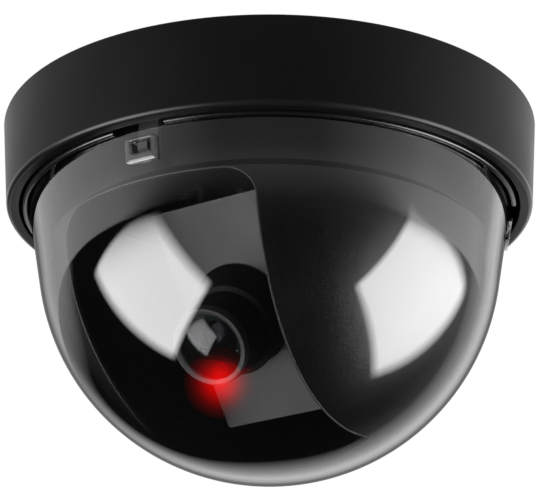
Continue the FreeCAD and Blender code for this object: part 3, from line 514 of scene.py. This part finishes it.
# ---- Base housing --------------------------------------------------------------------------------
def base_profile():
    lean = math.degrees(math.atan2(base_draft, -mouth_z))
    mouth_radius = base_radius - base_draft
    edge = base_edge_round
    top = base_top_round
    inner_edge = 0.3 * MM
    outer_band = 8.0 * MM
    draft_gain = 0.02 * MM
    outline = [(entry_bore_radius, 0.0), (base_radius - top - outer_band, 0.0)]
    outline += arc((base_radius - top, -top), top, 90, -lean, 6)
    outline += arc((mouth_radius - edge + draft_gain, mouth_z + edge), edge, -lean, -90, 10)
    outline += arc((mouth_inner_radius + inner_edge, mouth_z + inner_edge), inner_edge, -90, -180, 4)
    shoulder = disc_high.z + pan_washer_thickness
    outline += [(mouth_inner_radius, -base_floor), (hub_radius, -base_floor), (hub_radius, shoulder)]
    outline += [(journal_radius, shoulder), (journal_radius, retainer_top)]
    outline += [(entry_bore_radius, retainer_top)]
    return outline


def mount_hole():
    return prism("hole", circle(mount_hole_radius, -mount_circle_radius), mouth_z, cut_margin)


def post(radius, circle_radius, low):
    """A post or pad on the housing's floor, sunk a little into it."""
    return prism("post", circle(radius, -circle_radius), low, -base_floor + floor_overlap)


def pan_stop():
    """The post that the lug of the pan disc meets at both ends of its turn."""
    near = disc_high.x + moving_gap
    half = stop_width / 2
    outline = [(-half, -near - stop_depth), (half, -near - stop_depth), (half, -near), (-half, -near)]
    return prism("stop", outline, disc_low.z + moving_gap, -base_floor + floor_overlap)


def floor_posts():
    halfway = 180.0 / latch_count
    pieces = at_latches(lambda: post(ring_post_radius, ring_screw_circle, ring_high.z), halfway)
    pad_low = -base_floor - mount_pad_height
    pieces += at_latches(lambda: post(mount_pad_radius, mount_circle_radius, pad_low))
    for step in (-1, 0, 1):
        board_post = post(board_post_radius, board_screw_circle, board_high.z)
        pieces.append(turn(board_post, 180.0 + step * board_screw_spread))
    pieces.append(turn(pan_stop(), 180.0 + pan_azimuth))
    return pieces


base = lathe("base_shell", base_profile(), 256)
combine(base, floor_posts(), "UNION")
combine(base, at_latches(mount_hole), "DIFFERENCE")
place(smooth(base), "root", "base_housing")
# The edge round at the mouth gets the paler, glossier copy of the shell, a painted highlight along that edge.
base.data.materials.append(edge_highlight_black)
edge_inner_radius = base_radius - base_draft - base_edge_round
for face in base.data.polygons:
    low = face.center.z < mouth_z + base_edge_round
    if low and face.center.xy.length > edge_inner_radius:
        face.material_index = 1


# ---- Ring in the mouth ---------------------------------------------------------------------------
def ring_profile():
    low = ring_low.z
    lip = 0.5 * MM
    outline = arc((ring_radius - lip, low + lip), lip, -90, 0, 8)
    outline += [(ring_radius, ring_web_low), (ring_high.x, ring_web_low), (ring_high.x, ring_high.z)]
    web_inner = skirt_radius - dome_wall - 2 * moving_gap - ring_web_width
    outline += [(web_inner, ring_high.z), (web_inner, ring_web_low), (ring_inner_radius, ring_web_low)]
    outline += arc((ring_inner_radius + lip, low + lip), lip, 180, 270, 8)
    return outline


def ring_notch():
    half = ring_notch_width / 2
    inner = skirt_radius - dome_wall
    outline = [(-half, -base_radius), (half, -base_radius), (half, -inner), (-half, -inner)]
    return prism("notch", outline, ring_low.z - cut_margin, ring_web_low)


ring = lathe("mouth_ring", ring_profile(), 256)
combine(ring, at_latches(ring_notch), "DIFFERENCE")
place(smooth(ring), "root", "catch_ring")
ring.data.materials[0] = ring_black


# ---- Dome ----------------------------------------------------------------------------------------
def dome_surface(offset):
    """Outline of the dome's face, moved outwards by an offset, from the rim to the pole. The upright
    rim bends softly into the leaning skirt at the housing's mouth."""
    radius = dome_radius + offset
    rim = skirt_radius + offset
    rim_z = mouth_z - offset * math.tan(skirt_lean / 2)
    lean = math.degrees(skirt_lean)
    tangent = (radius * math.cos(skirt_lean), dome_z - radius * math.sin(skirt_lean))
    bend = 0.4 * MM
    upright = (rim, rim_z + bend)
    bending = [(rim - 0.01 * MM, rim_z), (rim - 0.075 * MM, rim_z - bend)]
    leaning = (rim - 0.14 * MM, rim_z - 2 * bend)
    points = run((rim, dome_top - rim_round), upright, 4) + [upright] + bending
    points += run(leaning, tangent, 12)
    points += arc((0.0, dome_z), radius, -lean, -90, 90)
    return points


def dome_profile():
    outer = dome_surface(0.0)
    inner = dome_surface(-dome_wall)
    top_round = arc((skirt_radius - rim_round, dome_top - rim_round), rim_round, 90, 0, 5)[:-1]
    inner_top = [(skirt_radius - dome_wall, dome_top)]
    outer[-1] = (0.0, outer[-1][1])
    inner[-1] = (0.0, inner[-1][1])
    return top_round + outer + inner[::-1] + inner_top


def skirt_at(height):
    return skirt_radius - (mouth_z - height) * math.tan(skirt_lean)


def rounded_rectangle(width, height, radius, steps=6):
    points = []
    for number, (sx, sy) in enumerate(((1, 1), (-1, 1), (-1, -1), (1, -1))):
        centre = (sx * (width / 2 - radius), sy * (height / 2 - radius))
        for n in range(steps + 1):
            angle = math.radians(90 * (number + n / steps))
            points.append((centre[0] + radius * math.cos(angle), centre[1] + radius * math.sin(angle)))
    return points


def on_skirt(across, up, out):
    """A point on the front of the skirt: across it, up from the frame's middle, and out of its face."""
    height = frame_middle + up
    radius = skirt_at(height) + out
    angle = across / radius
    return Vector((radius * math.sin(angle), -radius * math.cos(angle), height))


def latch_frame():
    """The raised frame, as a ring with rounded arrises that follows the skirt."""
    shift = window_middle - frame_middle
    outer = rounded_rectangle(frame_width, frame_height, radius=0.5 * MM)
    window = rounded_rectangle(window_width, window_height, radius=0.25 * MM)
    inner = [(x, y + shift) for x, y in window]
    soft = 0.22 * MM
    steps = 4
    root = -0.3 * MM
    rows = []
    for (outer_x, outer_y), (inner_x, inner_y) in zip(outer, inner):
        across = inner_x - outer_x
        up = inner_y - outer_y
        inset = soft / math.hypot(across, up)
        side = [(0.0, root)]
        for n in range(steps + 1):
            angle = math.pi / 2 * n / steps
            side.append((inset * (1 - math.cos(angle)), frame_proud - soft + soft * math.sin(angle)))
        section = side + [(1 - share, out) for share, out in reversed(side)]
        rows.append([on_skirt(outer_x + across * share, outer_y + up * share, out)
                     for share, out in section])
    return closed_grid("latch_frame", rows)


def latch_window():
    play = 0.02 * MM
    half = window_width / 2 - play
    depth = skirt_radius * 0.8
    outline = [(-half, -base_radius), (half, -base_radius), (half, -depth), (-half, -depth)]
    return prism("window", outline, window_top - window_height + play, window_top - play)


dome = lathe("dome_shell", dome_profile(), 256)
combine(dome, at_latches(latch_window), "DIFFERENCE")
place(smooth(dome), "dome", "dome_cover")
for number, rim in enumerate(at_latches(latch_frame)):
    rim.name = "latch_frame_" + str(number)
    rim.data.materials.append(finishes["clear_dome"])
    smooth(rim, angle=50.0)
    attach(rim, "dome")


# ---- Liner ---------------------------------------------------------------------------------------
def liner_surface(offset):
    """Outline of the liner's face, moved outwards by an offset, from its collar down to the pole."""
    radius = liner_radius + offset
    drop = offset * math.tan(math.pi / 8)
    collar_z = shoulder_z + liner_radius - collar_radius
    points = [(collar_radius + offset, collar_z + drop), (radius, shoulder_z + drop)]
    points += arc((0.0, dome_z), radius, 0, -90, 90)
    points[-1] = (0.0, points[-1][1])
    return points


def liner_profile():
    under = liner_top - liner_wall
    flange = disc_high.x - flange_lap
    bevel = 0.6 * MM
    outer = [(flange, liner_top), (collar_radius - bevel, liner_top)]
    outer += [(collar_radius, liner_top - bevel)] + liner_surface(0.0)
    inner = liner_surface(-liner_wall)
    return outer + inner[::-1] + [(collar_radius - liner_wall, under), (flange, under)]


slot_side_top = slot_top_z - slot_corner_radius
slot_flat = slot_half_width - slot_corner_radius
slot_corner = arc((slot_flat, slot_side_top), slot_corner_radius, 0, 90, 10)


def slot_side(height):
    """How far the slot's side stands from its middle line at a height."""
    fall = slot_side_top - height
    return slot_half_width - slot_side_radius + math.sqrt(slot_side_radius ** 2 - fall ** 2)


def slot_outline():
    low = dome_z - dome_radius
    steps = 24
    heights = [low + (slot_side_top - low) * n / steps for n in range(steps + 1)]
    side = [(slot_side(height), height) for height in heights]
    right = side + slot_corner[1:]
    return right + [(-x, z) for x, z in reversed(right)]


def slot_tool():
    """The slot's outline stands in the XZ plane and runs out to the front."""
    tool = prism("slot", slot_outline(), -slot_past_pole, base_radius)
    tool.data.transform(Matrix.Rotation(math.radians(90), 4, "X"))
    return tool


shell = lathe("liner_shell", liner_profile(), 256)
combine(shell, [slot_tool()], "DIFFERENCE")
turn(shell, pan_azimuth)
place(smooth(shell), "pan", "liner")


def on_liner(across, height):
    """A point on the front of the liner, above or below the dome's centre."""
    depth = min(height - dome_z, 0.0)
    return Vector((across, -math.sqrt(liner_radius ** 2 - across ** 2 - depth ** 2), height))


def slot_edge():
    """The closed line that the slot's edge draws on the liner's face. Down the side, the width and
    the height at an angle follow from each other, so they are found in a few rounds."""
    steps = 60
    rounds = 4
    side = []
    for n in range(steps):
        across = slot_half_width
        for _ in range(rounds):
            reach = math.sqrt(liner_radius ** 2 - across ** 2)
            last = -math.pi / 2 - math.asin(slot_past_pole / reach)
            angle = last + (math.asin((slot_side_top - dome_z) / reach) - last) * n / steps
            height = dome_z + reach * math.sin(angle)
            across = slot_side(height)
        side.append(Vector((across, -reach * math.cos(angle), height)))
    corner = [on_liner(x, z) for x, z in slot_corner]
    top = [on_liner(x, z) for x, z in run((slot_flat, slot_top_z), (0.0, slot_top_z), 10)[1:]]
    bottom = []
    for across, _ in run((0.0, 0.0), (side[0].x, 0.0), 12):
        depth = math.sqrt(liner_radius ** 2 - across ** 2 - slot_past_pole ** 2)
        bottom.append(Vector((across, slot_past_pole, dome_z - depth)))
    right = bottom + side + corner + top
    crown = [on_liner(0.0, slot_top_z)]
    left = [Vector((-point.x, point.y, point.z)) for point in reversed(right[1:])]
    return right + crown + left


def bead(name, path, radius, steps=8):
    """A round bead along a closed line on the liner's face."""
    rows = []
    for n, point in enumerate(path):
        along = (path[(n + 1) % len(path)] - path[n - 1]).normalized()
        out = Vector((point.x, point.y, min(point.z - dome_z, 0.0))).normalized()
        across = along.cross(out)
        angles = [2 * math.pi * k / steps for k in range(steps)]
        rows.append([point + radius * (math.cos(angle) * out + math.sin(angle) * across)
                     for angle in angles])
    return closed_grid(name, rows)


# The bead's shape is real; its paler colour is a painted highlight along the slot's edge.
slot_bead = turn(bead("slot_bead", slot_edge(), radius=0.25 * MM), pan_azimuth)
slot_bead.data.materials.append(painted_slot_highlight)
smooth(slot_bead, angle=60.0)
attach(slot_bead, "pan")


# ---- Camera module -------------------------------------------------------------------------------
def module_profile():
    """Spigot, foot, tube and bore. The foot's wide end is round about a centre above the lens axis."""
    edge_round = 0.25 * MM
    step_round = 0.4 * MM
    root_round = 0.3 * MM
    low = plate_front + seat_height
    back = plate_front - spigot_length
    wide = foot_radius + foot_flare
    outline = [(rear_bore_radius, back), (spigot_radius, back), (spigot_radius, low)]
    outline += [(wide - edge_round, low, foot_rise), (wide, low + edge_round, foot_rise)]
    outline += arc((foot_radius - step_round, foot_front - step_round), step_round, 0, 90, 6)
    outline += arc((tube_radius + root_round, foot_front + root_round), root_round, 270, 180, 4)
    outline += arc((tube_radius - edge_round, tube_front - edge_round), edge_round, 0, 90, 4)
    outline += [(bore_radius, tube_front), (bore_radius, tube_front - bore_depth)]
    outline += [(rear_bore_radius, tube_front - bore_depth)]
    return outline


def seat_profile():
    """The low ring that rubs on the plate as the module rolls."""
    front = plate_front + seat_height
    return [(spigot_radius, plate_front), (foot_radius, plate_front), (foot_radius, front),
            (spigot_radius, front)]


module = into_lens_frame(lathe("module_shell", module_profile(), 128))
place(smooth(module), "module", "module_housing")
seat = into_lens_frame(lathe("module_seat", seat_profile(), 128))
seat.data.materials.append(finishes["module_black"])
smooth(seat)
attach(seat, "module")


def bezel_profile():
    """A rounded rim, a cone that falls inwards from it, and a lip over the glass."""
    soft = 0.2 * MM
    rim_width = 0.5 * MM
    cone_fall = 0.3 * MM
    lip_radius = glass_radius - lip_width
    lip_back = bezel_front - lip_thickness
    outline = [(bore_radius, tube_front), (bezel_radius, tube_front)]
    outline += arc((bezel_radius - soft, bezel_front - soft), soft, 0, 90, 8)
    outline += [(bezel_radius - rim_width, bezel_front), (lip_radius, bezel_front - cone_fall)]
    outline += [(lip_radius, lip_back), (bore_radius, lip_back)]
    return outline


bezel = into_lens_frame(lathe("bezel_turned", bezel_profile(), 128))
place(smooth(bezel), "module", "bezel_ring")


def glass_profile():
    """A curved glass of even thickness, whose edge stands a little behind the bezel's lip."""
    edge_gap = 0.25 * MM
    front_edge = bezel_front - lip_thickness - edge_gap
    back_edge = front_edge - glass_thickness
    inner_curve = glass_curve - glass_thickness
    centre = front_edge - math.sqrt(glass_curve ** 2 - glass_radius ** 2)
    half = math.degrees(math.asin(glass_radius / glass_curve))
    outer = arc((0.0, centre), glass_curve, 90 - half, 90, 20)
    outer[-1] = (0.0, centre + glass_curve)
    hollow = math.sqrt(inner_curve ** 2 - (back_edge - centre) ** 2)
    inner_half = math.degrees(math.asin(hollow / inner_curve))
    inner = arc((0.0, centre), inner_curve, 90, 90 - inner_half, 20)
    inner[0] = (0.0, centre + inner_curve)
    return [(glass_radius, back_edge)] + outer + inner


glass = into_lens_frame(lathe("cover_glass", glass_profile(), 96))
place(smooth(glass), "module", "front_glass")


# ---- Stage, lights and camera --------------------------------------------------------------------
def mixed(nodes, factor, low, high):
    """A Mix node between two values; each value is a number or another node's output."""
    node = nodes.add("ShaderNodeMix", data_type="FLOAT")
    nodes.join(factor, node.inputs["Factor"])
    for socket, value in ((node.inputs["A"], low), (node.inputs["B"], high)):
        if isinstance(value, (int, float)):
            socket.default_value = value
        else:
            nodes.join(value, socket)
    return node.outputs["Result"]


def dot(nodes, vector, axis):
    node = nodes.add("ShaderNodeVectorMath", operation="DOT_PRODUCT")
    nodes.join(vector, node.inputs[0])
    node.inputs[1].default_value = axis
    return node.outputs["Value"]


def world_light():
    """Camera rays see white. Gloss sees a pale ceiling, a bright backdrop behind the object with a
    dark stand at its left end, and a dark studio in front and below."""
    ceiling_edge = 0.083
    ceiling_bow = 0.05
    ceiling_soft = 0.007
    backdrop_aim = (-0.05, 0.875, 0.483)
    backdrop_level = 1.6
    stand_place = -0.47
    stand_width = 0.3
    stand_depth = 0.33
    dark_level = 0.012
    fill_level = 0.45

    world = bpy.data.worlds.new("studio")
    bpy.context.scene.world = world
    world.use_nodes = True
    nodes = Nodes(world.node_tree)
    direction = nodes.add("ShaderNodeTexCoord").outputs["Generated"]
    parts = nodes.add("ShaderNodeSeparateXYZ")
    nodes.join(direction, parts.inputs["Vector"])
    x, y, z = parts.outputs

    # The ceiling starts at a bowed edge. It brightens from front to back, and well above that edge
    # it is never less than half bright.
    squared = calculate(nodes, "MULTIPLY", x, x)
    edge = calculate(nodes, "MULTIPLY_ADD", squared, ceiling_bow, ceiling_edge)
    above = calculate(nodes, "SUBTRACT", z, edge)
    ceiling = spread(nodes, above, 0.0, 1.0, -ceiling_soft, ceiling_soft)
    front = spread(nodes, y, 0.13, 0.85, -0.92, -0.25)
    back = spread(nodes, y, 0.0, 0.3, -0.4, 0.4)
    high = spread(nodes, z, 0.0, 0.5, 0.15, 0.35)
    level = calculate(nodes, "MAXIMUM", calculate(nodes, "ADD", front, back), high)
    pale = calculate(nodes, "MULTIPLY", ceiling, level)

    # The stand takes brightness from the backdrop, most at its own middle.
    offset = calculate(nodes, "DIVIDE", calculate(nodes, "SUBTRACT", x, stand_place), stand_width)
    fall = calculate(nodes, "MULTIPLY", calculate(nodes, "MULTIPLY", offset, offset), -1.0)
    stand = calculate(nodes, "MULTIPLY", calculate(nodes, "EXPONENT", fall), stand_depth)
    reach = calculate(nodes, "SUBTRACT", dot(nodes, direction, backdrop_aim), stand)
    backdrop = spread(nodes, reach, 0.0, backdrop_level, 0.38, 0.70)
    gloss = calculate(nodes, "ADD", calculate(nodes, "MAXIMUM", pale, backdrop), dark_level)

    # Each kind of ray sees its own world.
    rays = nodes.add("ShaderNodeLightPath").outputs
    lit = mixed(nodes, rays["Is Glossy Ray"], fill_level, gloss)
    seen = calculate(nodes, "MAXIMUM", rays["Is Camera Ray"], rays["Is Transmission Ray"])
    sky = nodes.add("ShaderNodeBackground")
    sky.inputs["Color"].default_value = (1, 1, 1, 1)
    nodes.join(mixed(nodes, seen, lit, 1.0), sky.inputs["Strength"])
    output = nodes.add("ShaderNodeOutputWorld")
    nodes.join(sky.outputs["Background"], output.inputs["Surface"])


def shine(nodes, strength):
    """Makes a light's own nodes shine white at a strength."""
    emission = nodes.add("ShaderNodeEmission")
    emission.inputs["Color"].default_value = (1, 1, 1, 1)
    nodes.join(strength, emission.inputs["Strength"])
    output = nodes.add("ShaderNodeOutputLight")
    nodes.join(emission.outputs["Emission"], output.inputs["Surface"])


def softbox(name, towards, up, size, shift, radiance, soft, fade):
    """A rectangular light on a plane a metre from the dome's centre, moved across and up that plane.
    Its power follows from how bright its face is. Its left, right, lower and upper edges are each
    soft over their own width, and it dims between two heights."""
    distance = 1.0
    back = Vector(towards).normalized()
    side = Vector(up).cross(back).normalized()
    upward = back.cross(side)
    centre = Vector((0, 0, dome_z)) + back * distance + side * shift[0] + upward * shift[1]
    data = bpy.data.lights.new(name, "AREA")
    data.shape = "RECTANGLE"
    data.size, data.size_y = size
    data.energy = radiance * math.pi * size[0] * size[1]
    data.use_nodes = True
    nodes = Nodes(data.node_tree)
    spot = nodes.add("ShaderNodeNewGeometry").outputs["Position"]
    level = 1.0
    for axis, length, margins in ((side, size[0], soft[:2]), (upward, size[1], soft[2:])):
        along = calculate(nodes, "SUBTRACT", dot(nodes, spot, axis), centre.dot(axis))
        for sign, margin in zip((-1, 1), margins):
            outwards = calculate(nodes, "MULTIPLY", along, sign)
            edge = spread(nodes, outwards, 1.0, 0.0, length / 2 - margin, length / 2)
            level = calculate(nodes, "MULTIPLY", edge, level)
    rise = spread(nodes, dot(nodes, spot, (0, 0, 1)), 0.0, 1.0, *fade)
    cubed = calculate(nodes, "POWER", rise, 3.0)
    dimming = calculate(nodes, "SUBTRACT", 1.0, cubed)
    shine(nodes, calculate(nodes, "MULTIPLY", level, dimming))
    lamp = new_object(name, data)
    lamp.matrix_world = Matrix.Translation(centre) @ Matrix((side, upward, back)).transposed().to_4x4()
    lamp.visible_camera = False


def pale_floor():
    """A wide floor far below. It glows a little, so that it is nearly as pale as what is round it."""
    half = 60.0
    level = -2.0
    mesh = bpy.data.meshes.new("floor")
    corners = [(-half, -half, level), (half, -half, level), (half, half, level), (-half, half, level)]
    mesh.from_pydata(corners, [], [(0, 1, 2, 3)])
    pale = surface("floor", grey(0.86), grey(0.9), 0.8, 0.9, 40, 0.02, blotch=3, glow=0.48)
    pale.cycles.emission_sampling = "NONE"
    mesh.materials.append(pale)
    floor = new_object("floor", mesh)
    floor.visible_glossy = False
    floor.visible_diffuse = False


def camera():
    """Below and in front of the object, looking up at it by 22 degrees through a long lens."""
    spot = Vector((0.0, -0.5821, -0.2650))
    target = Vector((0.0, 0.0, -0.0296))
    data = bpy.data.cameras.new("camera")
    data.sensor_width = 36.0
    data.lens = 180.5
    data.clip_start = 0.01
    eye = new_object("camera", data)
    eye.location = spot
    eye.rotation_euler = (target - spot).to_track_quat("-Z", "Y").to_euler()
    bpy.context.scene.camera = eye


def lamp_light(name, radius, energy, across, up, out):
    """A red point light, placed from the lamp along the lens frame's axes."""
    data = bpy.data.lights.new(name, "POINT")
    data.color = (1.0, 0.0, 0.0)
    data.energy = energy
    data.shadow_soft_size = radius
    light = new_object(name, data)
    light.location = lamp_spot + lens_x * across + lens_y * up + lens_z * out
    light.visible_glossy = False
    return light


def lamp_glow():
    """Red light that the lamp throws on what surrounds it."""
    glow = lamp_light("lamp_glow", radius=1.0 * MM, energy=0.002, across=0.0, up=-2.5 * MM,
                      out=3.0 * MM)
    glow.visible_camera = False
    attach(glow, "module")


def lamp_glare():
    """The lamp's glare: a ball of light that fades away from its middle, as a fuzzy ball does from
    any side."""
    radius = 8.0 * MM
    spread_radius = 2.6 * MM
    brightness = 1.0
    energy = brightness * (2 * math.pi * radius) ** 2
    glare = lamp_light("lamp_glare", radius, energy, across=-0.3 * MM, up=-2.6 * MM, out=1.5 * MM)
    glare.visible_camera = True
    glare.visible_diffuse = False
    glare.data.use_soft_falloff = False
    glare.data.use_nodes = True
    nodes = Nodes(glare.data.node_tree)
    slant = nodes.add("ShaderNodeLayerWeight", Blend=0.5).outputs["Facing"]
    facing = calculate(nodes, "SUBTRACT", 1.0, slant)
    depth = calculate(nodes, "SUBTRACT", calculate(nodes, "MULTIPLY", facing, facing), 1.0)
    steepness = radius ** 2 / (2 * spread_radius ** 2)
    shine(nodes, calculate(nodes, "EXPONENT", calculate(nodes, "MULTIPLY", depth, steepness)))
    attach(glare, "module")


world_light()
softbox("softbox_left", towards=(-0.85, -0.36, -0.385), up=(-0.466, 0.181, 0.866), size=(0.93, 0.98),
        shift=(0.015, 0.03), radiance=7.0, soft=(0.12, 0.14, 0.06, 0.05), fade=(-0.40, 0.08))
softbox("softbox_right", towards=(0.935, -0.12, -0.33), up=(0.353, 0.335, 0.878), size=(1.01, 1.12),
        shift=(0.0275, 0.06), radiance=6.2, soft=(0.06, 0.14, 0.10, 0.14), fade=(-0.1, 0.12))
pale_floor()
camera()
lamp_glow()
lamp_glare()

scene = bpy.context.scene
scene.view_settings.view_transform = "Standard"
